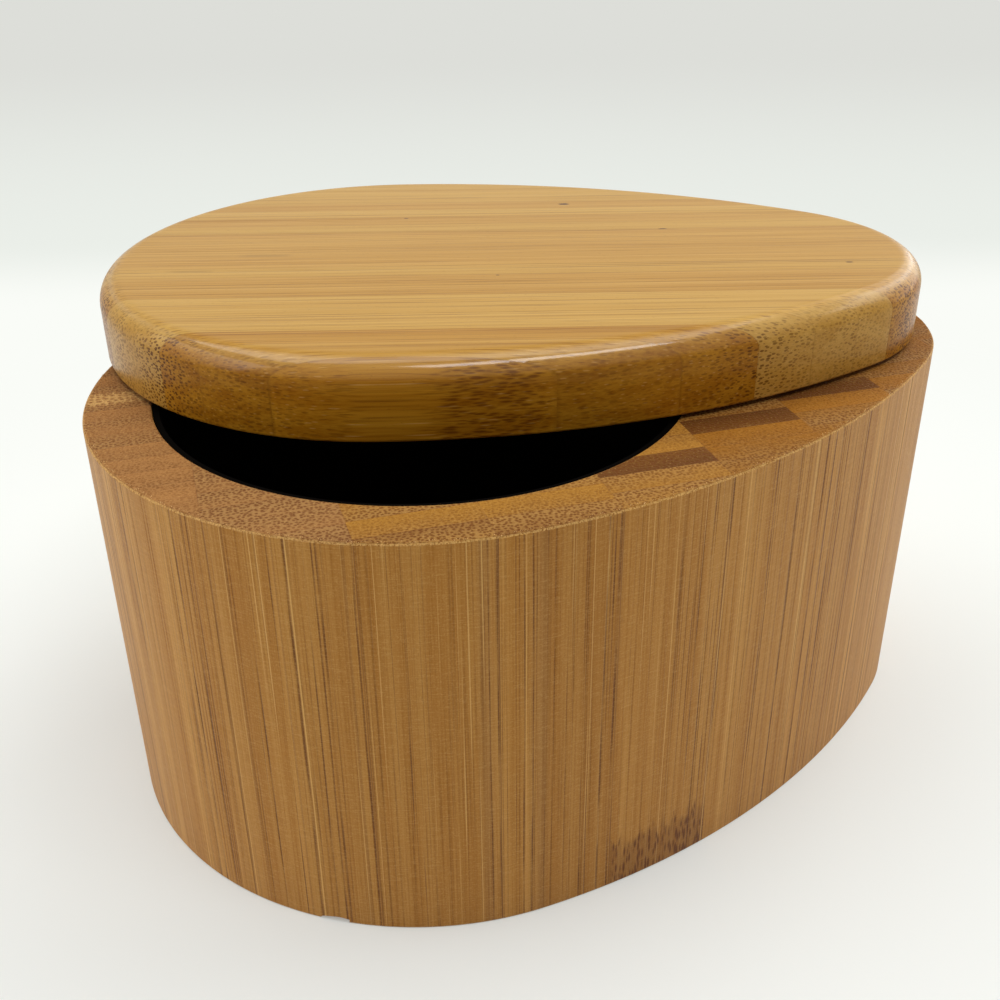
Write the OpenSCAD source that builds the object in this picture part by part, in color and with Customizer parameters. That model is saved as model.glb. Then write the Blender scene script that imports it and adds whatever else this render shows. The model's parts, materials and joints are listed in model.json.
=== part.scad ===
// Salt box with a swivel lid: an egg-shaped block of laminated bamboo, bored for a round well,
// under a bamboo lid that turns sideways on a hidden upright pin.
// Millimetres. The origin is the middle of the underside, +Z is up, and the big end points to -X.

/* [Base] */
// Length of the base, from the tip of the big end to the tip of the small end
base_len = 152; // [140:1:166]
// Height of the base
base_h = 70.5; // [55:0.5:90]
// Radius of the big end's outline
big_end_r = 54.5; // [51:0.5:58]
// Radius of the small end's outline
small_end_r = 33.5; // [28:0.5:40]
// Radius of the long side arcs that join the two ends
side_r = 140; // [115:1:180]

/* [Base boards] */
// Thickness of each board in the block
board_t = 18.4; // [14:0.2:24]
// Thickness of the board at the tip of the big end, along the boards' stacking line
first_board_t = 15.6; // [10:0.2:19]
// Angle between the block's length and the boards' stacking line, seen from above
board_angle = -5.5; // [-10:0.5:10]

/* [Well] */
// Diameter of the bore in the block
well_d = 89; // [78:0.5:92]
// Wall between the bore and the tip of the big end
well_wall = 10.7; // [8.5:0.1:16]
// Wood left under the bore
well_floor = 12; // [8:0.5:20]
// Wall of the black liner
liner_wall = 1; // [0.8:0.1:2]
// Floor of the liner
liner_floor = 1.2; // [0.8:0.1:3]
// Gap between the liner and the bore, filled with glue
liner_gap = 0.1; // [0.05:0.05:0.3]
// How far the liner's rim stays below the top of the block
liner_drop = 0.4; // [0.2:0.1:2]

/* [Lid] */
// Thickness of the lid
lid_t = 13; // [11:0.5:18]
// How far the lid's edge stays inside the block's edge when it is closed
lid_inset = 2.2; // [1:0.1:4]
// Gap between the block and the lid, which is also the washer's thickness
lid_gap = 0.8; // [0.5:0.1:1.5]
// Radius of the rounding along the lid's top edge
lid_round_r = 4; // [2:0.5:6]
// Width of each strip in the lid
strip_w = 5.2; // [4.6:0.1:7]
// Width of the strip at the lid's front edge, where the lid is widest
edge_strip_w = 2.5; // [1.6:0.1:4.4]
// Angle that the lid is swung open, clockwise from above
open_angle = 21; // [0:1:90]

/* [Pivot] */
// Distance from the tip of the small end to the pin
pivot_from_tip = 25; // [19:0.5:28]
// Diameter of the pin
pin_d = 6; // [4:0.5:8]
// Length of the pin that is pressed into the block
pin_in_base = 24; // [15:1:35]
// Length of the pin that stands in the bushing
pin_in_lid = 8.5; // [6:0.5:8.5]
// Bevel on the pin's two ends
pin_bevel = 0.6; // [0.2:0.1:1]
// Wall of the bushing in the lid
bush_wall = 1.8; // [1:0.1:3]
// Running clearance between the pin and the bushing, on the radius
bush_clearance = 0.05; // [0.02:0.01:0.1]
// Free space over the pin's top, and under its foot
end_space = 0.5; // [0.2:0.1:1]
// Diameter of the washer
washer_d = 18; // [14:0.5:24]
// Gap round the pin in the washer, on the radius
washer_clearance = 0.15; // [0.05:0.05:0.4]

/* [Hidden] */
$fn = 120;
// A full turn of the long side arcs is drawn with more facets, because their radius is larger
SIDE_FACETS = 360;
// Farther than any surface of the model, for the solids that cut it into slices
FAR = 400;
// How far a cut runs past the face that it opens, and a side of the outline past its middle line
PAST = 1;
// How far inside the outline the full rounds stay that tie its parts together
TIE_DEPTH = 0.05;
LIGHT_BAMBOO = [0.80, 0.63, 0.38];
DARK_BAMBOO = [0.63, 0.47, 0.27];
LINER_BLACK = [0.04, 0.04, 0.035];
STEEL = [0.68, 0.69, 0.70];
BRASS = [0.78, 0.62, 0.30];
NYLON = [0.90, 0.89, 0.85];

// The outline: an arc round each end, and a long arc on each side that meets both without a corner
big_x = -base_len/2 + big_end_r;
small_x = base_len/2 - small_end_r;
to_big = side_r - big_end_r;
to_small = side_r - small_end_r;
side_x = (to_big*to_big - to_small*to_small - big_x*big_x + small_x*small_x)/(2*(small_x - big_x));
side_y = sqrt(to_big*to_big - (side_x - big_x)*(side_x - big_x));
half_w = side_r - side_y;

// Heights
well_bottom = well_floor;
lid_bottom = base_h + lid_gap;
lid_top = lid_bottom + lid_t;
pin_foot = base_h - pin_in_base;
pin_top = lid_bottom + pin_in_lid;

// Places along the length
well_x = -base_len/2 + well_wall + well_d/2;
pivot_x = base_len/2 - pivot_from_tip;
bush_r = pin_d/2 + bush_clearance + bush_wall;
bush_h = pin_in_lid + end_space;

// Boards of the block: the first joint, then one at every board's thickness, with no sliver at the end
first_joint = -base_len/2 + first_board_t;
boards = 1 + ceil((base_len/2 - first_joint)/board_t - 0.15);

// Strips of the lid, counted from its front edge, with no sliver at the back
lid_half_w = half_w - lid_inset;
edge_joint = -lid_half_w + edge_strip_w;
strips = 1 + ceil((lid_half_w - edge_joint)/strip_w - 0.15);

function numbered(name, i) = str(name, i < 10 ? "0" : "", i);

// Half of the solid's section: r wide from the arc's centre, h high, its top edge rounded by round_r
module section(r, h, round_r) {
    if (round_r == 0) square([r, h]);
    else {
        square([r, h - round_r]);
        square([r - round_r, h]);
        translate([r - round_r, h - round_r]) intersection() {
            circle(r = round_r);
            square(round_r);
        }
    }
}

// The part of the outline round one end, which points along direction: its two straight edges
// lie square to the outline, in line with the centres of the side arcs. A full round, a little
// smaller, reaches past those edges into the sides
module end_sector(x, r, direction, h, round_r) {
    translate([x, 0, 0]) rotate_extrude() section(r - TIE_DEPTH, h, round_r);
    intersection() {
        translate([x, 0, 0]) rotate_extrude() section(r, h, round_r);
        linear_extrude(h) polygon([
            [x, 0],
            [2*x - side_x, -side_y],
            [x + direction*FAR, -side_y],
            [x + direction*FAR, side_y],
            [2*x - side_x, side_y]
        ]);
    }
}

// The part along the front side arc, from the middle line outwards
module side_sector(r, h, round_r) {
    intersection() {
        translate([side_x, side_y, 0]) rotate_extrude($fn = SIDE_FACETS) section(r, h, round_r);
        linear_extrude(h) polygon([
            [big_x, PAST],
            [big_x, 0],
            [2*big_x - side_x, -side_y],
            [2*small_x - side_x, -side_y],
            [small_x, 0],
            [small_x, PAST]
        ]);
    }
}

// The whole outline, drawn in by inset on every side
module egg_block(h, inset = 0, round_r = 0) {
    end_sector(big_x, big_end_r - inset, -1, h, round_r);
    end_sector(small_x, small_end_r - inset, 1, h, round_r);
    side_sector(side_r - inset, h, round_r);
    mirror([0, 1, 0]) side_sector(side_r - inset, h, round_r);
}

// What is cut from the block: the bore, and the pin's hole with free space under the pin
module base_cuts() {
    translate([well_x, 0, well_bottom]) cylinder(d = well_d, h = base_h);
    translate([pivot_x, 0, pin_foot - end_space]) cylinder(d = pin_d, h = base_h);
}

// One board of the block, the slice between two glue joints
module base_board(i) {
    low = i == 1 ? -FAR : first_joint + (i - 2)*board_t;
    high = i == boards ? FAR : first_joint + (i - 1)*board_t;
    color(DARK_BAMBOO) difference() {
        intersection() {
            egg_block(base_h);
            rotate(board_angle) translate([low, -FAR/2, 0]) cube([high - low, FAR, base_h]);
        }
        base_cuts();
    }
}

// Black cup that lines the bore, open at the top
module well_liner() {
    outer_r = well_d/2 - liner_gap;
    liner_h = base_h - liner_drop - well_bottom;
    color(LINER_BLACK) translate([well_x, 0, well_bottom]) difference() {
        cylinder(r = outer_r, h = liner_h);
        translate([0, 0, liner_floor]) cylinder(r = outer_r - liner_wall, h = liner_h);
    }
}

// Steel pin with bevelled ends, pressed into the block and standing up into the lid
module pivot_pin() {
    r = pin_d/2;
    color(STEEL) translate([pivot_x, 0, 0]) rotate_extrude() polygon([
        [0, pin_foot],
        [r - pin_bevel, pin_foot],
        [r, pin_foot + pin_bevel],
        [r, pin_top - pin_bevel],
        [r - pin_bevel, pin_top],
        [0, pin_top]
    ]);
}

// Thin washer that carries the lid just clear of the block
module pivot_washer() {
    color(NYLON) translate([pivot_x, 0, base_h]) difference() {
        cylinder(d = washer_d, h = lid_gap);
        translate([0, 0, -PAST]) cylinder(r = pin_d/2 + washer_clearance, h = lid_gap + 2*PAST);
    }
}

// Swings what the lid carries about the pin, from closed to where it stands open
module swung() {
    translate([pivot_x, 0, 0]) rotate(-open_angle) translate([-pivot_x, 0, 0]) children();
}

// Bushing pressed into the underside of the lid, which turns on the pin
module lid_bushing() {
    color(BRASS) translate([pivot_x, 0, lid_bottom]) difference() {
        cylinder(r = bush_r, h = bush_h);
        translate([0, 0, -PAST]) cylinder(r = pin_d/2 + bush_clearance, h = bush_h + 2*PAST);
    }
}

// One strip of the lid, the slice between two glue joints along its length
module lid_strip(i) {
    low = i == 1 ? -FAR : edge_joint + (i - 2)*strip_w;
    high = i == strips ? FAR : edge_joint + (i - 1)*strip_w;
    color(LIGHT_BAMBOO) swung() difference() {
        intersection() {
            translate([0, 0, lid_bottom]) egg_block(lid_t, lid_inset, lid_round_r);
            translate([-FAR/2, low, lid_bottom]) cube([FAR, high - low, lid_t]);
        }
        translate([pivot_x, 0, lid_bottom - PAST]) cylinder(r = bush_r, h = bush_h + PAST);
    }
}

for (i = [1:boards])
    base_board(i);
well_liner();
pivot_pin();
pivot_washer();
lid_bushing();
for (i = [1:strips])
    lid_strip(i);
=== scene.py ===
"""Looks of the salt box: an egg-shaped bamboo block with a black cup in it, under a lid that swivels."""

import json
import math
from collections import namedtuple

import bmesh
import bpy
from mathutils import Matrix, Vector, noise


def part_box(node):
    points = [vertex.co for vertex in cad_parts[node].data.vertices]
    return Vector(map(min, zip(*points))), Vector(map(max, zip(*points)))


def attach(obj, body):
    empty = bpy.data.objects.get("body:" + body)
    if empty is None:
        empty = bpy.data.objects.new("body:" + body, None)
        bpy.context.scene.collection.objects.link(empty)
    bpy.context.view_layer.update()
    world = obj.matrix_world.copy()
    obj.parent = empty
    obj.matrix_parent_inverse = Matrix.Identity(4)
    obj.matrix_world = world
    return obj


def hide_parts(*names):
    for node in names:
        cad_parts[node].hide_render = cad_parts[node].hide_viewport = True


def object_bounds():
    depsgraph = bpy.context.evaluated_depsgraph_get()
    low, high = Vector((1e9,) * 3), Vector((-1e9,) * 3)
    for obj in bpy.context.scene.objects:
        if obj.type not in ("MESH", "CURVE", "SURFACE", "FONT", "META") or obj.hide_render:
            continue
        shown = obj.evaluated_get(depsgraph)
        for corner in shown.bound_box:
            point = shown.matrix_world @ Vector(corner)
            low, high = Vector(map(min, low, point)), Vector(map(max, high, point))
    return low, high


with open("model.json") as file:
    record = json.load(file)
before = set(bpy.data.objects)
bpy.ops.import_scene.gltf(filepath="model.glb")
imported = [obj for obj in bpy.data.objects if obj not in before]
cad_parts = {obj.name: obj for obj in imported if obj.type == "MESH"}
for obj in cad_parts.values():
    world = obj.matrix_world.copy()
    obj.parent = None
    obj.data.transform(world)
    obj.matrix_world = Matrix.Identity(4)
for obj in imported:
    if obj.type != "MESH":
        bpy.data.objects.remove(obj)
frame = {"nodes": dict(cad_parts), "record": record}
cad_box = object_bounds()
bodies = frame["record"]["behaviour"]["bodies"]
BOARDS = sorted(n for n in bodies["base"] if n.startswith("base_board"))
STRIPS = sorted(n for n in bodies["lid"] if n.startswith("lid_strip"))

# Sizes in metres: the outline's radii and the joints' spacing, then what the frame gives
MM = 0.001
BIG_END_R = 54.5 * MM
SMALL_END_R = 33.5 * MM
SIDE_R = 140 * MM
LID_INSET = 2.2 * MM
LID_ROUND = 4 * MM
BOARD_T = 18.4 * MM
FIRST_BOARD_T = 15.6 * MM
BOARD_ANGLE = math.radians(-5.5)
STRIP_W = 5.2 * MM
EDGE_STRIP_W = 2.5 * MM
OPEN_ANGLE = math.radians(21)
BASE_LEN = cad_box[1].x - cad_box[0].x
BASE_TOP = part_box(BOARDS[0])[1].z
LID_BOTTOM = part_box("pivot_washer")[1].z
LID_TOP = cad_box[1].z
LINER_LOW, LINER_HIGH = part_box("well_liner")
LINER_GAP = 0.1 * MM
WELL_R = (LINER_HIGH.x - LINER_LOW.x) / 2 + LINER_GAP
WELL_X = (LINER_HIGH.x + LINER_LOW.x) / 2
PIN_LOW, PIN_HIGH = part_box("pivot_pin")
PIN_R = (PIN_HIGH.x - PIN_LOW.x) / 2
PIVOT_X = (PIN_HIGH.x + PIN_LOW.x) / 2
BUSH_LOW, BUSH_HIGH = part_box("lid_bushing")
BUSH_R = (BUSH_HIGH.x - BUSH_LOW.x) / 2
END_SPACE = 0.5 * MM

# Wear and easing that the visible pieces have, how finely they are drawn, how far a cut runs past a face, and
# farther than any surface
EDGE_EASE = 0.35 * MM
LIP_EASE = 0.3 * MM
CHIP_PLACE = (-53.07 * MM, -44.2 * MM, 0)
CHIP_SIZE = (3.3 * MM, 0.9 * MM, 1.0 * MM)
OUTLINE_STEP = 0.5 * MM
SHARP_ANGLE = math.radians(20)
PAST = 1 * MM
FAR = 0.4

# The outline's centres, as in the part: an arc round each end and a long arc on each side
BIG_X = BIG_END_R - BASE_LEN / 2
SMALL_X = BASE_LEN / 2 - SMALL_END_R
TO_BIG = SIDE_R - BIG_END_R
TO_SMALL = SIDE_R - SMALL_END_R
SIDE_X = (TO_BIG**2 - TO_SMALL**2 - BIG_X**2 + SMALL_X**2) / (2 * (SMALL_X - BIG_X))
SIDE_Y = math.sqrt(TO_BIG**2 - (SIDE_X - BIG_X) ** 2)
LID_HALF_W = SIDE_R - SIDE_Y - LID_INSET
EDGE_JOINT = EDGE_STRIP_W - LID_HALF_W
FIRST_JOINT = FIRST_BOARD_T - BASE_LEN / 2


def srgb(r, g, b):
    """A colour as a screen shows it, 0 to 255, as the linear values that shaders take."""
    def linear(v):
        v = v / 255
        return v / 12.92 if v <= 0.04045 else ((v + 0.055) / 1.055) ** 2.4
    return (linear(r), linear(g), linear(b), 1.0)


class Value:
    """A node's output socket. Arithmetic on it adds Math nodes."""

    def __init__(self, tree, socket):
        self.tree = tree
        self.socket = socket

    def math(self, operation, *others):
        return self.tree.math(operation, self, *others)

    def __add__(self, other):
        return self.math("ADD", other)

    def __sub__(self, other):
        return self.math("SUBTRACT", other)

    def __rsub__(self, other):
        return self.tree.math("SUBTRACT", other, self)

    def __mul__(self, other):
        return self.math("MULTIPLY", other)

    def __truediv__(self, other):
        return self.math("DIVIDE", other)

    def __abs__(self):
        return self.math("ABSOLUTE")

    __radd__ = __add__
    __rmul__ = __mul__

    def beside(self, name):
        """Another output of the same node."""
        return Value(self.tree, self.socket.node.outputs[name])

    def rise(self, low, high):
        """0 at low and 1 at high with a smooth step between them. Where low is the larger, it falls."""
        return self.tree.add("ShaderNodeMapRange", {"interpolation_type": "SMOOTHSTEP"},
                             {"Value": self, "From Min": low, "From Max": high})


class Shading:
    """The node tree of a material or a world, with one method that adds any node."""

    def __init__(self, owner):
        owner.use_nodes = True
        self.owner = owner
        self.nodes = owner.node_tree.nodes
        self.links = owner.node_tree.links
        self.nodes.clear()

    def add(self, kind, settings=None, inputs=None, output=0):
        node = self.nodes.new(kind)
        for key, value in (settings or {}).items():
            setattr(node, key, value)
        for key, value in (inputs or {}).items():
            if isinstance(value, Value):
                self.links.new(value.socket, node.inputs[key])
            else:
                node.inputs[key].default_value = value
        return Value(self, node.outputs[output])

    def math(self, operation, *values):
        return self.add("ShaderNodeMath", {"operation": operation}, dict(enumerate(values)))

    def vector(self, x, y, z):
        return self.add("ShaderNodeCombineXYZ", inputs={0: x, 1: y, 2: z})

    def parts(self, vector):
        """The X, Y and Z of a vector."""
        x = self.add("ShaderNodeSeparateXYZ", inputs={0: vector})
        return x, x.beside("Y"), x.beside("Z")

    def mix(self, factor, a, b):
        """Colour a, turned towards colour b by the factor."""
        return self.add("ShaderNodeMix", {"data_type": "RGBA"}, {0: factor, 6: a, 7: b}, 2)

    def noise(self, vector, scale, detail=2.0, roughness=0.5, output=0):
        return self.add("ShaderNodeTexNoise", inputs={
            "Vector": vector, "Scale": scale, "Detail": detail, "Roughness": roughness}, output=output)

    def random(self, x, y=0.0, z=0.0):
        """A number from 0 to 1 for each cell."""
        return self.add("ShaderNodeTexWhiteNoise", inputs={"Vector": self.vector(x, y, z)})

    def object_place(self, turn=0.0, centre=(0.0, 0.0)):
        """Where a point lies on the object, in millimetres, turned about an upright axis through centre."""
        place = self.add("ShaderNodeTexCoord", output="Object")
        centre = Vector((*centre, 0)) / MM
        back = centre - Matrix.Rotation(turn, 3, "Z") @ centre
        return self.add("ShaderNodeMapping", inputs={
            "Vector": place, "Location": back, "Rotation": (0, 0, turn), "Scale": (1 / MM,) * 3})

    def facing(self, axis):
        """How squarely the surface faces along an axis: 1 where it does, 0 where it runs along it."""
        normal = self.add("ShaderNodeTexCoord", output="Normal")
        product = {"operation": "DOT_PRODUCT"}
        return abs(self.add("ShaderNodeVectorMath", product, {0: normal, 1: axis}, "Value"))

    def seen(self):
        """1 for what the camera sees, straight or in a reflection or through glass, and 0 for other light."""
        path = self.add("ShaderNodeLightPath", output="Is Camera Ray")
        straight_or_mirrored = self.math("MAXIMUM", path, path.beside("Is Glossy Ray"))
        return self.math("MAXIMUM", straight_or_mirrored, path.beside("Is Transmission Ray"))

    def bump(self, height, strength, distance):
        inputs = {"Height": height, "Strength": strength, "Distance": distance}
        return self.add("ShaderNodeBump", inputs=inputs)

    def ends_in(self, shader, kind="ShaderNodeOutputMaterial"):
        self.links.new(shader.socket, self.nodes.new(kind).inputs["Surface"])
        return self.owner

    def finish(self, **sockets):
        """Ends the tree in one Principled shader. A socket's name has _ for each space."""
        inputs = {key.replace("_", " "): value for key, value in sockets.items()}
        return self.ends_in(self.add("ShaderNodeBsdfPrincipled", inputs=inputs))


class Material(Shading):
    """A new material's node tree."""

    def __init__(self, name):
        super().__init__(bpy.data.materials.new(name))


class GeometryTree:
    """A Geometry Nodes tree with named inputs, and one method that adds any node."""

    def __init__(self, name, inputs):
        self.tree = bpy.data.node_groups.new(name, "GeometryNodeTree")
        self.tree.interface.new_socket("Geometry", in_out="INPUT", socket_type="NodeSocketGeometry")
        self.tree.interface.new_socket("Geometry", in_out="OUTPUT", socket_type="NodeSocketGeometry")
        self.keys = {}
        for label, kind in {**inputs, "Material": "Material"}.items():
            item = self.tree.interface.new_socket(label, in_out="INPUT", socket_type="NodeSocket" + kind)
            self.keys[label] = item.identifier
        self.given = self.tree.nodes.new("NodeGroupInput").outputs
        self.result = self.tree.nodes.new("NodeGroupOutput").inputs[0]

    def add(self, kind, settings=None, inputs=None, output=0):
        node = self.tree.nodes.new(kind)
        for key, value in (settings or {}).items():
            setattr(node, key, value)
        for key, value in (inputs or {}).items():
            for one in value if isinstance(value, list) else [value]:
                if isinstance(one, bpy.types.NodeSocket):
                    self.tree.links.new(one, node.inputs[key])
                else:
                    node.inputs[key].default_value = one
        return node.outputs[output]

    def math(self, operation, a, b=0.0):
        return self.add("ShaderNodeMath", {"operation": operation}, {0: a, 1: b})

    def vector_math(self, operation, a, b):
        return self.add("ShaderNodeVectorMath", {"operation": operation}, {0: a, 1: b})

    def scaled(self, vector, scale):
        return self.add("ShaderNodeVectorMath", {"operation": "SCALE"}, {0: vector, "Scale": scale})

    def named(self, name, kind="FLOAT_VECTOR"):
        return self.add("GeometryNodeInputNamedAttribute", {"data_type": kind}, {"Name": name})

    def stored(self, geometry, name, value, kind, domain):
        return self.add("GeometryNodeStoreNamedAttribute", {"data_type": kind, "domain": domain},
                        {"Geometry": geometry, "Name": name, "Value": value})

    def ends_in(self, geometry):
        real = self.add("GeometryNodeRealizeInstances", inputs={"Geometry": geometry})
        inputs = {"Geometry": real, "Material": self.given["Material"]}
        dressed = self.add("GeometryNodeSetMaterial", inputs=inputs)
        self.tree.links.new(dressed, self.result)
        return self

    def bake(self, source, name, values):
        """The tree's result on a source object, as a new object with a plain mesh."""
        modifier = source.modifiers.new("shape", "NODES")
        modifier.node_group = self.tree
        for label, value in values.items():
            modifier[self.keys[label]] = value
        source.update_tag()
        result = source.evaluated_get(bpy.context.evaluated_depsgraph_get())
        mesh = bpy.data.meshes.new_from_object(result)
        source.modifiers.remove(modifier)
        return placed(mesh, name)


def placed(mesh, name):
    """A mesh as an object of the scene."""
    mesh.name = name
    made = bpy.data.objects.new(name, mesh)
    bpy.context.scene.collection.objects.link(made)
    return made


def discard(*objects):
    for made in objects:
        bpy.data.objects.remove(made)


def arc(centre, radius, start, end, steps):
    """Points along an arc, each with the direction out of it. The next arc brings the last point."""
    for i in range(steps):
        angle = start + (end - start) * i / steps
        out = Vector((math.cos(angle), math.sin(angle), 0))
        yield centre + out * radius, out


def outline(inset):
    """The egg outline, drawn in by inset, with a point about every OUTLINE_STEP."""
    big_turn = math.atan2(SIDE_Y, BIG_X - SIDE_X)
    small_turn = math.atan2(SIDE_Y, SMALL_X - SIDE_X)
    arcs = (
        (Vector((SMALL_X, 0, 0)), SMALL_END_R, -small_turn, small_turn),
        (Vector((SIDE_X, -SIDE_Y, 0)), SIDE_R, small_turn, big_turn),
        (Vector((BIG_X, 0, 0)), BIG_END_R, big_turn, 2 * math.pi - big_turn),
        (Vector((SIDE_X, SIDE_Y, 0)), SIDE_R, -big_turn, -small_turn),
    )
    for centre, radius, start, end in arcs:
        yield from arc(centre, radius - inset, start, end, round((end - start) * radius / OUTLINE_STEP))


def outline_face(inset):
    """A flat face with the egg outline. Each corner keeps its place and the direction out of the outline."""
    points = list(outline(inset))
    mesh = bpy.data.meshes.new("outline")
    mesh.from_pydata([place for place, _ in points], [], [range(len(points))])
    rim = mesh.attributes.new("rim", "FLOAT_VECTOR", "POINT")
    outward = mesh.attributes.new("outward", "FLOAT_VECTOR", "POINT")
    for i, (place, out) in enumerate(points):
        rim.data[i].vector = place
        outward.data[i].vector = out
    return placed(mesh, "outline")


def raised_block_tree():
    """Raises a flat face into a block, ring by ring: an eased foot, a straight side, and a rounded top edge.

    The top edge can be ragged, as a sawn edge across the grain is.
    """
    t = GeometryTree("raised block", {
        "Bottom": "Float", "Top": "Float", "Foot ease": "Float", "Top rounding": "Float",
        "Foot steps": "Int", "Side steps": "Int", "Top steps": "Int",
        "Raggedness": "Float", "Ragged length": "Float",
    })
    given = t.given
    rim = t.named("rim")
    out = t.named("outward")

    def moved_to(geometry, selection, inset, height):
        flat = t.vector_math("SUBTRACT", rim, t.scaled(out, inset))
        up = t.add("ShaderNodeCombineXYZ", inputs={2: height})
        inputs = {"Geometry": geometry, "Position": t.vector_math("ADD", flat, up)}
        if selection:
            inputs["Selection"] = selection
        return t.add("GeometryNodeSetPosition", inputs=inputs)

    def raised(geometry, count, ring):
        """Extrudes the top face count times. The rule ring turns a new ring's share into inset and height."""
        start = t.tree.nodes.new("GeometryNodeRepeatInput")
        end = t.tree.nodes.new("GeometryNodeRepeatOutput")
        start.pair_with_output(end)
        if isinstance(count, int):
            start.inputs["Iterations"].default_value = count
        else:
            t.tree.links.new(count, start.inputs["Iterations"])
        t.tree.links.new(geometry, start.inputs["Geometry"])
        grown = t.add("GeometryNodeExtrudeMesh", {"mode": "FACES"}, {
            "Mesh": start.outputs["Geometry"], "Selection": t.named("cap", "BOOLEAN"),
            "Offset Scale": 0.0, "Individual": False})
        top = grown.node.outputs["Top"]
        share = t.math("DIVIDE", t.math("ADD", start.outputs["Iteration"], 1.0), count)
        inset, height = ring(share)
        shifted = moved_to(grown, top, inset, height)
        t.tree.links.new(t.stored(shifted, "cap", top, "BOOLEAN", "FACE"), end.inputs["Geometry"])
        return end.outputs["Geometry"]

    def foot(share):
        angle = t.math("MULTIPLY", share, math.pi / 2)
        inset = t.math("MULTIPLY", given["Foot ease"], t.math("SUBTRACT", 1.0, t.math("SINE", angle)))
        height = t.math("MULTIPLY", given["Foot ease"], t.math("SUBTRACT", 1.0, t.math("COSINE", angle)))
        return inset, t.math("ADD", given["Bottom"], height)

    def side(share):
        low = t.math("ADD", given["Bottom"], given["Foot ease"])
        high = t.math("SUBTRACT", given["Top"], given["Top rounding"])
        return 0.0, t.math("ADD", low, t.math("MULTIPLY", share, t.math("SUBTRACT", high, low)))

    def top(share):
        angle = t.math("MULTIPLY", share, math.pi / 2)
        inset = t.math("MULTIPLY", given["Top rounding"], t.math("SUBTRACT", 1.0, t.math("COSINE", angle)))
        drop = t.math("MULTIPLY", given["Top rounding"], t.math("SUBTRACT", 1.0, t.math("SINE", angle)))
        rough = t.add("ShaderNodeTexNoise", inputs={
            "Vector": rim, "Scale": t.math("DIVIDE", 1.0, given["Ragged length"]), "Detail": 3.0})
        inset = t.math("ADD", inset, t.math("MULTIPLY", given["Raggedness"], rough))
        return inset, t.math("SUBTRACT", given["Top"], drop)

    def flat_top(share):
        inset, height = top(share)
        return t.math("ADD", inset, 0.5 * MM), height

    floor = moved_to(given["Geometry"], None, given["Foot ease"], given["Bottom"])
    underside = t.add("GeometryNodeFlipFaces", inputs={"Mesh": floor})
    shell = t.stored(floor, "cap", True, "BOOLEAN", "FACE")
    shell = raised(shell, given["Foot steps"], foot)
    shell = raised(shell, given["Side steps"], side)
    shell = raised(shell, given["Top steps"], top)
    shell = raised(shell, 1, flat_top)
    whole = t.add("GeometryNodeJoinGeometry", inputs={"Geometry": [shell, underside]})
    return t.ends_in(t.add("GeometryNodeMergeByDistance", inputs={"Geometry": whole, "Distance": 0.001 * MM}))


def glued_slice_tree():
    """Cuts the slice between two glue joints out of a block, less what is bored out of it."""
    t = GeometryTree("glued slice", {
        "Angle": "Float", "Low": "Float", "High": "Float", "Bored out": "Object"})
    low, high = t.given["Low"], t.given["High"]
    size = t.add("ShaderNodeCombineXYZ", inputs={0: t.math("SUBTRACT", high, low), 1: FAR, 2: FAR})
    middle = t.add("ShaderNodeCombineXYZ", inputs={0: t.math("MULTIPLY", t.math("ADD", low, high), 0.5)})
    turn = t.add("FunctionNodeEulerToRotation", inputs={
        0: t.add("ShaderNodeCombineXYZ", inputs={2: t.given["Angle"]})})
    slab = t.add("GeometryNodeMeshCube", inputs={"Size": size})
    slab = t.add("GeometryNodeTransform", inputs={"Geometry": slab, "Translation": middle})
    slab = t.add("GeometryNodeTransform", inputs={"Geometry": slab, "Rotation": turn})
    piece = t.add("GeometryNodeMeshBoolean", {"operation": "INTERSECT", "solver": "MANIFOLD"},
                  {"Mesh 2": [t.given["Geometry"], slab]})
    bored = t.add("GeometryNodeObjectInfo", inputs={"Object": t.given["Bored out"]}, output="Geometry")
    piece = t.add("GeometryNodeMeshBoolean", {"operation": "DIFFERENCE", "solver": "MANIFOLD"},
                  {"Mesh 1": piece, "Mesh 2": bored})
    return t.ends_in(piece)


def turned_solid(name, profile, x, steps=256):
    """A solid turned on an upright axis, from (radius, height) pairs listed from its foot to its top."""
    points = []
    faces = [list(range(steps))[::-1]]
    for radius, height in profile:
        for i in range(steps):
            angle = 2 * math.pi * i / steps
            out = Vector((math.cos(angle), math.sin(angle), 0))
            points.append(Vector((x, 0, height)) + out * radius)
    for low in range(0, steps * (len(profile) - 1), steps):
        for i in range(steps):
            j = (i + 1) % steps
            faces.append((low + i, low + j, low + steps + j, low + steps + i))
    faces.append([steps * (len(profile) - 1) + i for i in range(steps)])
    mesh = bpy.data.meshes.new(name)
    mesh.from_pydata(points, [], faces)
    return placed(mesh, name)


def joined(name, *objects):
    """Several solids that don't touch, as one object."""
    mesh = bmesh.new()
    for made in objects:
        mesh.from_mesh(made.data)
    result = bpy.data.meshes.new(name)
    mesh.to_mesh(result)
    mesh.free()
    discard(*objects)
    return placed(result, name)


def chip(name, place, size, seed):
    """A small uneven lump, cut off flat at one end, which leaves a chip where it is cut out of an edge."""
    mesh = bmesh.new()
    bmesh.ops.create_icosphere(mesh, subdivisions=4, radius=1)
    for corner in mesh.verts:
        uneven = 1 + 0.15 * noise.noise(corner.co * 1.7 + Vector((seed, 0, 0)))
        corner.co.x = min(corner.co.x, 0.6)
        corner.co = Vector([c * s * uneven for c, s in zip(corner.co, size)])
    turn = Matrix.Rotation(math.atan2(place[1], place[0] - BIG_X) + math.pi / 2, 4, "Z")
    mesh.transform(Matrix.Translation(place) @ turn)
    result = bpy.data.meshes.new(name)
    mesh.to_mesh(result)
    mesh.free()
    return placed(result, name)


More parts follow.
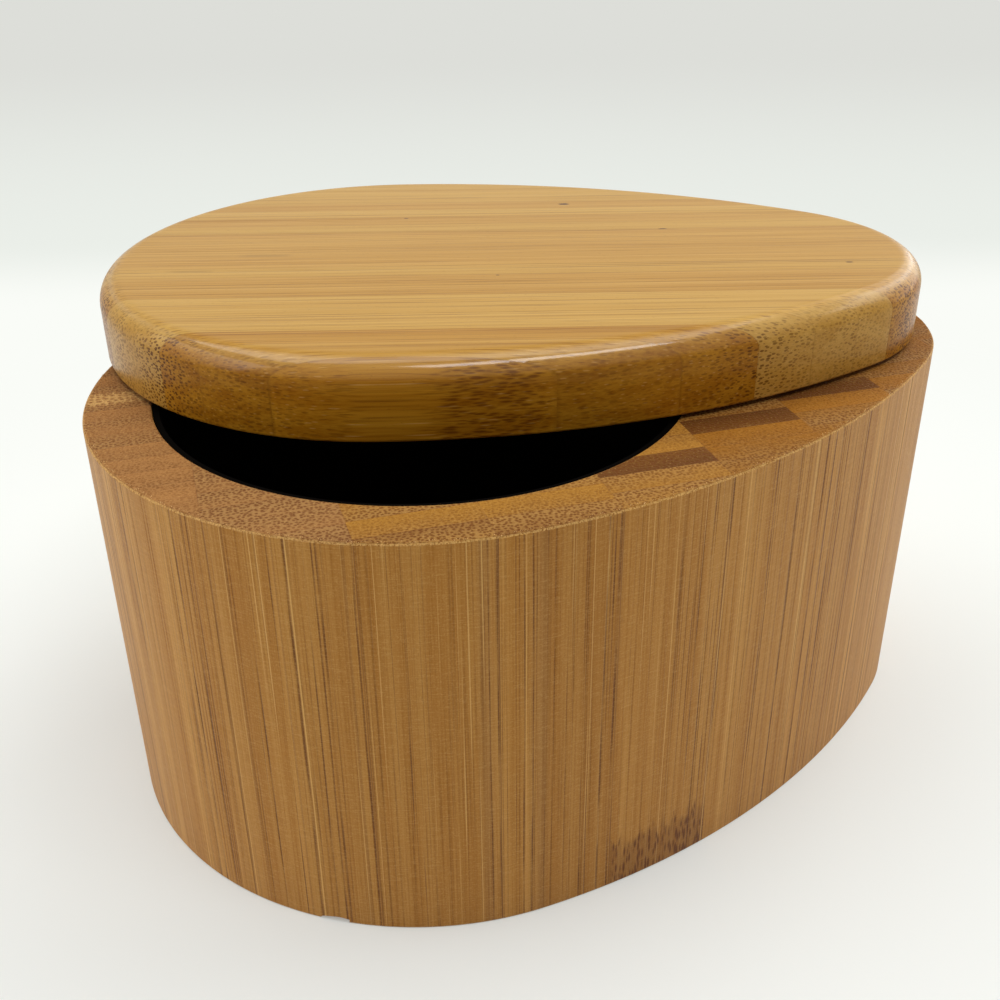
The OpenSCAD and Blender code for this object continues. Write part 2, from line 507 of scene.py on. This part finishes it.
def smoothed(made):
    """Smooth faces, except where they meet at more than a slight angle."""
    made.data.shade_smooth()
    made.data.set_sharp_from_angle(angle=SHARP_ANGLE)


# What bamboo looks like: the light and dark streaks of each tone, then the colours of what lies in it
TONES = {
    "straw": (srgb(204, 160, 80), srgb(192, 145, 63)),
    "honey": (srgb(198, 151, 71), srgb(184, 134, 52)),
    "amber": (srgb(190, 140, 57), srgb(173, 121, 40)),
    "golden": (srgb(196, 136, 34), srgb(164, 101, 12)),
    "oak": (srgb(206, 150, 74), srgb(176, 116, 40)),
    "russet": (srgb(188, 130, 32), srgb(156, 97, 14)),
    "chestnut": (srgb(178, 120, 32), srgb(146, 88, 12)),
    "leather": (srgb(170, 118, 64), srgb(127, 82, 42)),
    "ochre": (srgb(174, 120, 38), srgb(127, 79, 23)),
    "saffron": (srgb(154, 97, 8), srgb(110, 65, 5)),
}
FIBRE = srgb(98, 46, 6)
BRICK = srgb(70, 40, 12)
DEEP = srgb(64, 28, 2)
SHORT_FIBRE = srgb(100, 56, 4)
GLUE = srgb(106, 58, 32)
YELLOW_GLUE = srgb(122, 78, 22)
PALE = srgb(236, 190, 116)

# Sizes in millimetres: how far apart the bundles and pits lie, and how wide bundles, rows and glue are
FINE_CELL = 0.52
FINE_RADIUS = 0.14
COARSE_CELL = 1.0
COARSE_RADIUS = 0.2
PALE_CELL = 0.8
PALE_RADIUS = 0.1
PIT_CELL = 0.62
TORN_PIT_CELL = 0.95
ROW_PITCH = 4.8
GLUE_WIDTH = 0.15

# How marks show on the polished lid and on the sawn block: how much wider the fine bundles are where they
# are cut across, the strength of each other kind, and the colours of the fine bundles and the glue
Marks = namedtuple("Marks", "spread coarse pale dash glue fibre glue_colour")
LID_MARKS = Marks(1.0, 0.45, 0.6, 0.7, 0.6, SHORT_FIBRE, YELLOW_GLUE)
BLOCK_MARKS = Marks(0.6, 1.0, 1.0, 0.9, 1.0, FIBRE, GLUE)


def drawn_noise(m, grain, pace, pace_along, seed, detail=2.0, roughness=0.5, output=0):
    """Noise that changes at one pace across the grain, and at another along it."""
    along, across, wide, _, _ = grain
    place = m.vector(across * pace, wide * pace, along * pace_along + seed)
    return m.noise(place, 1.0, detail, roughness, output)


def flat_cells(m, across, wide, cell, **settings):
    """The distance to the middle of the nearest cell, in cells, on a cut across the grain."""
    inputs = {"Vector": m.vector(across, wide, 0.0), "Scale": 1 / cell, **settings}
    return m.add("ShaderNodeTexVoronoi", {"voronoi_dimensions": "2D"}, inputs, "Distance")


def bundles(m, grain, cell, radius, seed, spread=0.0):
    """Fibre bundles, which run along the grain and wander a little: 1 in a bundle, 0 between.

    They look spread times larger where they are cut across.
    """
    _, across, wide, end, _ = grain
    drift_a, drift_w, _ = m.parts(drawn_noise(m, grain, 0.12, 0.012, seed, 1.0, output="Color"))
    place_a = across + (drift_a - 0.5) * 0.8
    place_w = wide + (drift_w - 0.5) * 0.8
    distance = flat_cells(m, place_a, place_w, cell)
    size, _, _ = m.parts(distance.beside("Color"))
    edge = distance * cell - (size * 0.75 + 0.25) * (end * (radius * spread) + radius)
    return edge.rise(0.05, -0.04)


def dashes(m, grain, width, length, seed):
    """Short dashes along the grain, as round a node of the cane: 1 in a dash, 0 between."""
    along, across, wide, _, _ = grain
    place = m.vector(across / width, wide / width, along / length + seed)
    distance = m.add("ShaderNodeTexVoronoi", inputs={"Vector": place, "Scale": 1.0}, output="Distance")
    size, _, _ = m.parts(distance.beside("Color"))
    return (distance + size * 0.2).rise(0.72, 0.288)


def pits(m, grain, cell):
    """Pits between pale walls, as where the grain is cut across: 1 in the middle of a pit."""
    _, across, wide, _, _ = grain
    return flat_cells(m, across, wide, cell, Randomness=0.85).rise(0.55, 0.12)


def sawn_rows(m, grain, tone, tones, seed, row, patchy, speck):
    """The rows that a board is glued from.

    Gives the board's colour, how close its bundles lie, its pits, and how much they show.
    """
    _, across, _, end, turned = grain
    phase, browns, torn = row
    number = m.math("FLOOR", (across - phase) / ROW_PITCH)
    inside = m.math("FRACT", (across - phase) / ROW_PITCH)
    shade = m.random(number, seed) * 0.8
    for one, brown in browns:
        shade = shade + m.math("COMPARE", number, one, 0.5) * (brown - shade)
    flip = m.math("ROUND", m.random(number, seed, 3.0))
    skin = m.math("PINGPONG", inside + flip, 1.0)
    brown = shade * 0.8 + skin * 0.35 + patchy * 0.4 - 0.3
    side = m.mix(tone, *TONES[tones[0]])
    side = m.mix(shade * 0.3 + skin * 0.15, side, TONES["chestnut"][1])
    cut = m.mix(brown - 1, m.mix(brown, *TONES[tones[1]]), BRICK)
    pit = pits(m, grain, PIT_CELL)
    coarseness = end * (brown.rise(0.15, 0.75) * 0.8 + 0.2)
    wall = (1 - pit) * coarseness * brown.rise(1.2, 0.8)
    cut = m.mix(wall * 0.2, m.mix(pit * coarseness * 0.62, cut, FIBRE), PALE)
    for place, half in torn:
        zone = (abs(across - place) + (speck - 0.5) * 3).rise(half, half * 0.7) * end
        cut = m.mix(zone * (1 - pits(m, grain, TORN_PIT_CELL)) * 0.55, cut, PALE)
    seam = m.math("PINGPONG", inside, 0.5).rise(0.03, 0.0)
    colour = m.mix(seam * 0.3, m.mix(turned, side, cut), GLUE)
    return colour, skin, pit, coarseness


def bamboo(name, grain, tones, seed, joints, row=None, spots=(), knots=(), dots=1.0):
    """Bamboo as it is sawn and sanded: bundles, streaks, rows, glue joints and knots.

    grain gives, in millimetres, the place along the grain, across the strips and across their wide side,
    then how squarely the surface faces the grain, and how far it shows the second of the two tones. joints
    are the slice's two sides. row is where the rows start, the brownness of some rows, and where the saw
    tore the cut. The lid has no rows, and is polished. dots is how much its bundles show where they are cut
    across. A spot has its place along and across, its length and width, and its darkness. A knot has its
    place along the grain, half its height, the width and length of its dashes, its haze, and a rule that
    keeps it to a part of the surface.
    """
    m = Material(name)
    here = along, across, wide, end, turned = grain(m)
    low, high = joints
    marks = BLOCK_MARKS if row else LID_MARKS
    stroke = drawn_noise(m, here, 1.5, 0.07, seed, 1.0).rise(0.3, 0.6)
    streak = drawn_noise(m, here, 3.2, 0.03, seed, 3.0, 0.6)
    speck = drawn_noise(m, here, 4.5, 1.2, seed, 2.0, 0.6)
    patchy = drawn_noise(m, here, 0.2, 0.06, seed)
    band = drawn_noise(m, here, 0.36, 0.005, seed, 3.0)
    tone = band.rise(0.35, 0.65) * 0.6 + streak.rise(0.35, 0.65) * 0.4
    if row:
        colour, skin, pit, coarseness = sawn_rows(m, here, tone, tones, seed, row, patchy, speck)
        fineness = (1 - coarseness * 0.6) * 0.5
    else:
        # On the lid, surfaces that don't face up take the edge tone: painted shade, with a little of the cut
        # fibres' own darker colour
        colour = m.mix(turned, m.mix(tone, *TONES[tones[0]]), m.mix(tone, *TONES[tones[1]]))
        inside = (across - low / MM) / ((high - low) / MM)
        skin = abs(inside - SKIN_SIDE[int(seed) % 2]) if high - low < FAR else 0.9
        fineness = (end + 0.3) * dots

    # What runs along the grain, from the palest to the darkest
    pale = bundles(m, here, PALE_CELL, PALE_RADIUS, seed + 11)
    fine = bundles(m, here, FINE_CELL, FINE_RADIUS, seed, marks.spread)
    fine = fine * (stroke * (1 - end) * 0.7 + end * 0.7 + 0.3)
    coarse = bundles(m, here, COARSE_CELL, COARSE_RADIUS, seed + 5)
    coarse = coarse * (1 - end) * (stroke * 0.8 + 0.2) * marks.coarse
    colour = m.mix(pale * (0.5 - end * 0.3) * marks.pale, colour, PALE)
    colour = m.mix(streak.rise(0.55, 0.75) * 0.3 * (1 - end), colour, FIBRE)
    colour = m.mix(fine * fineness * (skin * 0.6 + 0.5), colour, marks.fibre)
    colour = m.mix(coarse * 0.8, colour, FIBRE)
    colour = m.mix(speck.rise(0.6, 0.8) * 0.3, colour, FIBRE)

    # What the saw left: scratches across the side. Paler colour where the surface slopes, on the eased edges
    if row:
        scratch = drawn_noise(m, here, 0.5, 5.0, seed, 2.0, 0.7)
        grit = drawn_noise(m, here, 4.0, 4.0, 0.0, 2.0, 0.7)
        colour = m.mix((scratch + grit - 1).rise(-0.1, 0.35) * 0.22 * (1 - end), colour, PALE)
        edge = end.rise(0.15, 0.45) * end.rise(0.97, 0.7)
        colour = m.mix(edge * grit.rise(0.35, 0.6) * 0.55, colour, PALE)

    # Knots, the glue joints on both sides, and spots
    for place, half, size, haze, where in knots:
        ragged = drawn_noise(m, here, 1.1, 0.1, seed)
        zone = where(m, (abs(along - place) + (ragged - 0.5) * half * 1.6).rise(half, half * 0.6))
        dash = dashes(m, here, *size, seed) * zone
        colour = m.mix(dash * marks.dash, m.mix(zone * haze, colour, FIBRE), FIBRE)
    beside = wide if row else across
    side = m.math("MINIMUM", beside - low / MM, high / MM - beside)
    glue = side.rise(GLUE_WIDTH, 0.02) * (patchy.rise(0.35, 0.65) * 0.45 + 0.2) * (1 - end * 0.4)
    colour = m.mix(glue * marks.glue, colour, marks.glue_colour)
    for x, y, length, width, darkness in spots:
        spot = m.math("MAXIMUM", abs(along - x) / length, abs(across - y) / width) + (speck - 0.5) * 0.8
        colour = m.mix(spot.rise(1.0, 0.3) * darkness, colour, DEEP)

    relief = 1 - fine * 0.5 - coarse * 0.8 - glue * 0.6 + streak * 0.6 + speck * 0.3
    if row:
        relief = relief - pit * coarseness + (scratch + grit) * 0.5
        return m.finish(Base_Color=colour, Roughness=0.42 + fine * 0.1 + streak * 0.1 + end * 0.25,
                        Specular_IOR_Level=0.3, Specular_Tint=(1.0, 0.82, 0.6, 1.0),
                        Normal=m.bump(relief, 0.4, 0.2 * MM))
    level = m.facing((0, 0, 1))
    polished = level.rise(0.97, 0.85) * level.rise(0.15, 0.45) * end.rise(0.6, 0.25)
    return m.finish(Base_Color=colour, Roughness=0.28 + fine * 0.1,
                    Specular_IOR_Level=0.12, Specular_Tint=(1.0, 0.66, 0.3, 1.0),
                    Coat_Weight=polished * 0.92 + 0.08, Coat_Roughness=0.12,
                    Normal=m.bump(relief, 0.16, 0.12 * MM))


def block_grain(m):
    """The block's grain stands upright, and its rows and boards lie along lines at a slant to its length."""
    wide, across, along = m.parts(m.object_place(-BOARD_ANGLE))
    end = m.facing((0, 0, 1))
    return along, across, wide, end, end


def lid_grain(m):
    """The lid's grain runs along its length, which is swung open about the pin."""
    along, across, wide = m.parts(m.object_place(OPEN_ANGLE, (PIVOT_X, 0)))
    end = m.facing((math.cos(OPEN_ANGLE), -math.sin(OPEN_ANGLE), 0))
    # The last value sends the sides and the rounded edge towards the edge tone, as painted shade
    return along, across, wide, end, m.facing((0, 0, 1)).rise(0.9, 0.4)


def edge_only(m, mask):
    """Fades a mark out on the lid's top."""
    return mask * m.facing((0, 0, 1)).rise(0.95, 0.6)


def front_only(m, mask):
    """Keeps a mark on the front half of the block."""
    _, y, _ = m.parts(m.object_place())
    return mask * y.rise(0.0, -10.0)


# Small dark marks in the lid's top: place along and across the closed lid, length and width, darkness
SPECKS = (
    (11.3, 30.9, 1.3, 0.75, 1.0),
    (29.0, 12.5, 1.0, 0.6, 0.9),
    (58.9, -9.8, 0.8, 0.5, 0.8),
    (-44.9, -1.1, 6.0, 1.1, 0.2),
    (-56.6, -9.6, 5.0, 0.9, 0.2),
    (-20.5, 22.0, 0.5, 0.4, 0.7),
    (-3.0, -14.0, 0.35, 0.3, 0.7),
)
# Which side of a strip the cane's skin is on, where its bundles lie closer together
SKIN_SIDE = (0.0, 1.0)
# Where the marks of each board and of each strip start, so that no two are alike
BOARD_SEED_STEP = 20.0
STRIP_SEED = 300
STRIP_SEED_STEP = 17.0
# For each board: the tones of its side and of its cut, where its rows start, the brownness of some of its
# rows, where the saw tore the cut, and its knots
BOARD_LOOKS = (
    (("oak", "leather"), 0.5, ((-7, 0.1),), ((5.0, 2.6),), ()),
    (("oak", "leather"), 0.9, ((-8, 0.7), (-9, 0.8), (-10, 0.6), (-11, 0.9)), (), ()),
    (("oak", "ochre"), 1.2, ((-12, 0.95), (-11, 0.3), (-10, 0.6)), (), ()),
    (("oak", "ochre"), 1.2, ((-12, 0.95), (-11, 0.2), (-10, 0.7)), (), ()),
    (("oak", "ochre"), 2.7, ((-12, 0.6), (-11, 0.5), (-10, 1.6), (-9, 0.2), (-8, 0.0)), (),
     ((2.0, 7.8, (0.5, 2.6), 0.35, front_only),)),
    # Boards 6 to 9 are cut in the darkest tone, saffron: partly their own colour, partly painted shade of the
    # lid over that end of the rim
    (("oak", "saffron"), 2.1, ((-11, 0.5), (-10, 0.4), (-9, 0.1), (-8, 1.5)), (), ()),
    (("oak", "saffron"), 4.4, ((-9, 0.6), (-8, 0.0), (-7, 1.4)), (), ()),
    (("oak", "saffron"), 3.3, (), (), ()),
    (("oak", "saffron"), 1.6, (), (), ()),
)
# For each strip of the lid, from its front edge: the tones of its top and of its edge, how much its dots
# show, and its knots. The edge tone, mostly darker, is painted shade on the sides and the rounded edge, with
# a little of the cut fibres' own darker colour.
STRIP_LOOKS = (
    (("amber", "golden"), 0.8, ((-4.5, 9.5, (0.4, 2.8), 0.12, edge_only),)),
    (("honey", "russet"), 0.9, ()),
    (("amber", "russet"), 1.3, ()),
    (("straw", "honey"), 1.1, ()),
    (("straw", "honey"), 0.6, ()),
    (("straw", "honey"), 0.5, ()),
    (("honey", "russet"), 1.2, ()),
    (("honey", "golden"), 0.8, ()),
    (("straw", "honey"), 0.7, ()),
    (("honey", "golden"), 1.0, ()),
    (("honey", "honey"), 0.7, ()),
    (("honey", "russet"), 1.1, ()),
    (("honey", "honey"), 0.8, ()),
    (("straw", "honey"), 0.6, ()),
    (("honey", "golden"), 1.0, ()),
    (("straw", "honey"), 0.7, ()),
    (("honey", "russet"), 1.0, ()),
    (("straw", "honey"), 0.8, ()),
    (("straw", "honey"), 0.6, ()),
    (("straw", "golden"), 0.9, ()),
    (("straw", "golden"), 0.8, ()),
)


def rides(piece, body, slot, *replaced):
    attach(piece, body)
    if replaced:
        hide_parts(*replaced)


raise_block = raised_block_tree()
slice_block = glued_slice_tree()


def make_boards():
    """The block's boards, cut from one block and bored as one."""
    face = outline_face(0)
    block = raise_block.bake(face, "whole_block", {
        "Bottom": 0.0, "Top": BASE_TOP, "Foot ease": EDGE_EASE, "Top rounding": EDGE_EASE,
        "Foot steps": 2, "Side steps": 4, "Top steps": 2,
        "Raggedness": 0.18 * MM, "Ragged length": 1.1 * MM})
    halfway = LIP_EASE * (1 - math.cos(math.pi / 4))
    well = turned_solid("well", [
        (WELL_R, LINER_LOW.z),
        (WELL_R, BASE_TOP - LIP_EASE),
        (WELL_R + halfway, BASE_TOP - halfway),
        (WELL_R + LIP_EASE, BASE_TOP),
        (WELL_R + LIP_EASE, BASE_TOP + PAST),
    ], WELL_X)
    hole = turned_solid("pin_hole", [
        (PIN_R, PIN_LOW.z - END_SPACE),
        (PIN_R, BASE_TOP + PAST),
    ], PIVOT_X, 64)
    foot_chip = chip("foot_chip", CHIP_PLACE, CHIP_SIZE, 3)
    bored = joined("bored_out", well, hole, foot_chip)
    for i, (node, (tones, phase, browns, torn, knots)) in enumerate(zip(BOARDS, BOARD_LOOKS)):
        low = FIRST_JOINT + (i - 1) * BOARD_T if i else -FAR
        high = FIRST_JOINT + i * BOARD_T if i < len(BOARDS) - 1 else FAR
        seed = BOARD_SEED_STEP * i
        finish = bamboo(f"upright_bamboo_{i + 1:02d}", block_grain, tones, seed, (low, high),
                        row=(phase, browns, torn), knots=knots)
        board = slice_block.bake(block, f"board_{i + 1:02d}", {
            "Angle": BOARD_ANGLE, "Low": low, "High": high, "Bored out": bored, "Material": finish})
        smoothed(board)
        rides(board, "base", "bamboo_block", node)
    discard(face, block, bored)


def make_strips():
    """The lid's strips, cut from one board with a rounded edge, and swung open with it."""
    face = outline_face(LID_INSET)
    board = raise_block.bake(face, "whole_lid", {
        "Bottom": LID_BOTTOM, "Top": LID_TOP, "Foot ease": EDGE_EASE, "Top rounding": LID_ROUND,
        "Foot steps": 2, "Side steps": 4, "Top steps": 12,
        "Raggedness": 0.0, "Ragged length": 1.0 * MM})
    bored = turned_solid("bushing_hole", [
        (BUSH_R, LID_BOTTOM - PAST),
        (BUSH_R, BUSH_HIGH.z),
    ], PIVOT_X, 96)
    to_pivot = Matrix.Translation((PIVOT_X, 0, 0))
    swing = to_pivot @ Matrix.Rotation(-OPEN_ANGLE, 4, "Z") @ to_pivot.inverted()
    for i, (node, (tones, dots, knots)) in enumerate(zip(STRIPS, STRIP_LOOKS)):
        low = EDGE_JOINT + (i - 1) * STRIP_W if i else -FAR
        high = EDGE_JOINT + i * STRIP_W if i < len(STRIPS) - 1 else FAR
        specks = [speck for speck in SPECKS if low < speck[1] * MM < high]
        seed = STRIP_SEED + STRIP_SEED_STEP * i
        finish = bamboo(f"lid_bamboo_{i + 1:02d}", lid_grain, tones, seed, (low, high),
                        spots=specks, knots=knots, dots=dots)
        strip = slice_block.bake(board, f"strip_{i + 1:02d}", {
            "Angle": math.pi / 2, "Low": low, "High": high, "Bored out": bored, "Material": finish})
        strip.data.transform(swing)
        smoothed(strip)
        rides(strip, "lid", "bamboo_lid", node)
    discard(face, board, bored)


def black_cup():
    """Black lacquered cup: nearly black, faintly mottled, half matt."""
    m = Material("black_cup")
    place = m.object_place()
    _, _, height = m.parts(place)
    rim = LINER_HIGH.z / MM
    cloud = m.noise(place, 0.09, 3.0)
    grain = m.noise(place, 2.2)
    inner = m.mix(cloud.rise(0.3, 0.7), srgb(50, 44, 36), srgb(38, 33, 27))
    # Painted shade: within 2 mm of its top edge the cup is nearly black, so that its lit top edge doesn't
    # show
    colour = m.mix(height.rise(rim - 2.0, rim - 0.1), inner, srgb(4, 3, 2))
    return m.finish(Base_Color=colour, Roughness=0.7 + cloud * 0.15, Specular_IOR_Level=0.02,
                    Normal=m.bump(grain, 0.1, 0.05 * MM))


def drawn_steel():
    """Ground steel rod: fine lines round it."""
    m = Material("drawn_steel")
    x, y, z = m.parts(m.object_place())
    lines = m.noise(m.vector(x * 0.2, y * 0.2, z * 14), 1.0)
    colour = m.mix(lines, srgb(176, 178, 180), srgb(150, 152, 156))
    return m.finish(Base_Color=colour, Metallic=1.0, Roughness=0.24 + lines * 0.14,
                    Normal=m.bump(lines, 0.1, 0.02 * MM))


def turned_brass():
    """Turned brass: rings left by the tool, slightly dulled in patches."""
    m = Material("turned_brass")
    x, y, z = m.parts(m.object_place())
    rings = m.noise(m.vector(x * 0.3, y * 0.3, z * 9), 1.0)
    dull = m.noise(m.object_place(), 0.5, 3.0)
    colour = m.mix(dull.rise(0.35, 0.7), srgb(205, 168, 92), srgb(168, 130, 64))
    return m.finish(Base_Color=colour, Metallic=1.0, Roughness=0.28 + dull * 0.2,
                    Normal=m.bump(rings, 0.12, 0.02 * MM))


def pale_nylon():
    """Washer nylon: milky, with faint clouds."""
    m = Material("pale_nylon")
    cloud = m.noise(m.object_place(), 0.8, 3.0)
    colour = m.mix(cloud.rise(0.3, 0.7), srgb(232, 229, 218), srgb(214, 209, 194))
    return m.finish(Base_Color=colour, Roughness=0.42 + cloud * 0.12,
                    Normal=m.bump(cloud, 0.06, 0.05 * MM))


def edge_fibres_tree():
    """Short stiff fibres left by the saw along an edge, leaning out and up at random."""
    t = GeometryTree("edge fibres", {
        "Spacing": "Float", "Inset": "Float", "Height": "Float", "Length": "Float",
        "Thickness": "Float", "Share": "Float", "Seed": "Int",
    })
    given = t.given
    edge = t.add("GeometryNodeMeshToCurve", inputs={"Mesh": given["Geometry"]})
    spaced = {"Curve": edge, "Length": given["Spacing"]}
    edge = t.add("GeometryNodeResampleCurve", {"mode": "LENGTH"}, spaced)
    roots = t.add("GeometryNodeCurveToPoints", {"mode": "EVALUATED"}, {"Curve": edge})
    out = t.named("outward")

    def chance(kind, shift, inputs, output):
        """A random value for each fibre, from a draw of its own."""
        seed = t.math("ADD", given["Seed"], float(shift))
        return t.add("FunctionNodeRandomValue", {"data_type": kind}, {"Seed": seed, **inputs}, output)

    back = t.math("MULTIPLY", given["Inset"], chance("FLOAT", 1, {2: 0.9, 3: 1.8}, 1))
    up = t.add("ShaderNodeCombineXYZ", inputs={2: given["Height"]})
    shift = t.vector_math("SUBTRACT", up, t.scaled(out, back))
    roots = t.add("GeometryNodeSetPosition", inputs={"Geometry": roots, "Offset": shift})
    lean = chance("FLOAT_VECTOR", 2, {0: (-0.5, -0.5, 0.1), 1: (0.5, 0.5, 0.9)}, 0)
    turn = t.add("FunctionNodeAlignRotationToVector", {"axis": "Z"}, {
        "Vector": t.vector_math("ADD", t.scaled(out, 0.2), lean)})
    fibre = t.add("GeometryNodeMeshCone", inputs={
        "Vertices": 4, "Radius Top": t.math("MULTIPLY", given["Thickness"], 0.2),
        "Radius Bottom": given["Thickness"], "Depth": given["Length"]})
    grown = t.add("GeometryNodeInstanceOnPoints", inputs={
        "Points": roots, "Instance": fibre, "Rotation": turn,
        "Selection": chance("BOOLEAN", 3, {"Probability": given["Share"]}, 3),
        "Scale": chance("FLOAT_VECTOR", 4, {0: (0.5,) * 3, 1: (1.2,) * 3}, 0)})
    return t.ends_in(grown)


def make_edge_fibres():
    """Pale fibres that stand along the block's top edge, where the saw left it ragged."""
    m = Material("torn_fibre")
    cloud = m.noise(m.object_place(), 1.5)
    colour = m.mix(cloud.rise(0.35, 0.65), srgb(236, 196, 134), srgb(204, 152, 88))
    finish = m.finish(Base_Color=colour, Roughness=0.6 + cloud * 0.1)
    face = outline_face(0)
    fibres = edge_fibres_tree().bake(face, "edge_fibres", {
        "Spacing": 0.28 * MM, "Inset": 0.38 * MM, "Height": BASE_TOP - 0.1 * MM,
        "Length": 0.28 * MM, "Thickness": 0.08 * MM, "Share": 0.75, "Seed": 7, "Material": finish})
    rides(fibres, "base", "bamboo_block")
    discard(face)


def dress_hardware():
    """The nodes whose shape stays as it is get their finishes."""
    for node, finish in (("well_liner", black_cup()), ("pivot_pin", drawn_steel()),
                         ("lid_bushing", turned_brass()), ("pivot_washer", pale_nylon())):
        slots = frame["nodes"][node].data.materials
        slots.clear()
        slots.append(finish)


make_boards()
make_strips()
make_edge_fibres()
dress_hardware()


# The photograph's camera: where it stands, the point it looks at, its slight roll and its lens
CAMERA_PLACE = Vector((-78.863, -179.862, 150.550)) * MM
CAMERA_TARGET = Vector((-1.046, 14.864, 35.000)) * MM
CAMERA_ROLL = math.radians(-0.6337)
CAMERA_LENS = 43.407
SENSOR_WIDTH = 36

# The floor: which way the camera looks along it, and its colours from the front to far away, which are
# painted shade
AHEAD = Vector((0.371, 0.929))
FRONT_FLOOR = srgb(245, 247, 243)
NEAR_FLOOR = srgb(250, 252, 247)
MIDDLE_FLOOR = srgb(236, 240, 234)
FAR_FLOOR = srgb(221, 222, 217)
FLOOR_HALF = 3.0

# The light from all sides, then each lamp's place, the point it faces, its size and its power
ROOM_TINT = srgb(240, 243, 246)
ROOM_LIGHT = 0.18
LAMPS = {
    "overhead": ((0.05, 0.25, 1.1), (0, 0, 0.05), (1.4, 0.9), 7.6),
    "front_strip": ((0.12, -0.45, 1.0), (0, 0, 0.08), (0.7, 0.2), 3.1),
    "left_panel": ((-0.95, 0.2, 0.42), (0, 0, 0.05), (1.0, 0.8), 3.7),
    "right_panel": ((0.95, 0.2, 0.42), (0, 0, 0.05), (1.1, 0.8), 5.4),
}


def make_floor():
    """A pale floor with painted shade: darker in front and greyer far away. Near the object it is lit, and
    takes its shadow.
    """
    m = Material("pale_floor")
    x, y, _ = m.parts(m.object_place())
    ahead = x * AHEAD.x + y * AHEAD.y
    close = m.mix(ahead.rise(-30.0, 70.0), FRONT_FLOOR, NEAR_FLOOR)
    distant = m.mix(ahead.rise(200.0, 800.0), MIDDLE_FLOOR, FAR_FLOOR)
    colour = m.mix(ahead.rise(225.0, 310.0), close, distant)
    lit = m.add("ShaderNodeBsdfDiffuse", inputs={"Color": colour})
    plain = m.add("ShaderNodeEmission", inputs={"Color": colour, "Strength": 1.0})
    away = m.math("SQRT", x * x + y * y).rise(90.0, 230.0)
    mixed = m.add("ShaderNodeMixShader", inputs={0: m.seen() * (away * 0.7 + 0.3), 1: lit, 2: plain})
    mesh = bpy.data.meshes.new("floor")
    corners = ((-1, -1, 0), (1, -1, 0), (1, 1, 0), (-1, 1, 0))
    mesh.from_pydata([Vector(corner) * FLOOR_HALF for corner in corners], [], [(0, 1, 2, 3)])
    mesh.materials.append(m.ends_in(mixed))
    placed(mesh, "floor")


def make_lamp(name, place, target, size, power):
    lamp = bpy.data.lights.new(name, "AREA")
    lamp.shape = "RECTANGLE"
    lamp.size, lamp.size_y = size
    lamp.energy = power
    made = bpy.data.objects.new(name, lamp)
    made.location = place
    made.rotation_euler = (Vector(target) - Vector(place)).to_track_quat("-Z", "Y").to_euler()
    bpy.context.scene.collection.objects.link(made)


def make_world():
    """A pale studio, which lights the object faintly. The camera sees it as pale as the floor far away."""
    w = Shading(bpy.data.worlds.new("studio"))
    room = w.add("ShaderNodeBackground", inputs={"Color": ROOM_TINT, "Strength": ROOM_LIGHT})
    pale = w.add("ShaderNodeBackground", inputs={"Color": FAR_FLOOR})
    mixed = w.add("ShaderNodeMixShader", inputs={0: w.seen(), 1: room, 2: pale})
    bpy.context.scene.world = w.ends_in(mixed, "ShaderNodeOutputWorld")


def make_camera():
    """The photograph's camera."""
    ahead = (CAMERA_TARGET - CAMERA_PLACE).normalized()
    level = ahead.cross(Vector((0, 0, 1))).normalized()
    above = level.cross(ahead)
    right = level * math.cos(CAMERA_ROLL) + above * math.sin(CAMERA_ROLL)
    up = right.cross(ahead)
    camera = bpy.data.objects.new("camera", bpy.data.cameras.new("camera"))
    camera.data.sensor_width = SENSOR_WIDTH
    camera.data.lens = CAMERA_LENS
    camera.data.clip_start = 0.01
    camera.matrix_world = Matrix((
        (right.x, up.x, -ahead.x, CAMERA_PLACE.x),
        (right.y, up.y, -ahead.y, CAMERA_PLACE.y),
        (right.z, up.z, -ahead.z, CAMERA_PLACE.z),
        (0, 0, 0, 1),
    ))
    bpy.context.scene.collection.objects.link(camera)
    bpy.context.scene.camera = camera


make_floor()
for name, (place, target, size, power) in LAMPS.items():
    make_lamp(name, place, target, size, power)
make_world()
make_camera()
bpy.context.scene.view_settings.view_transform = "Standard"
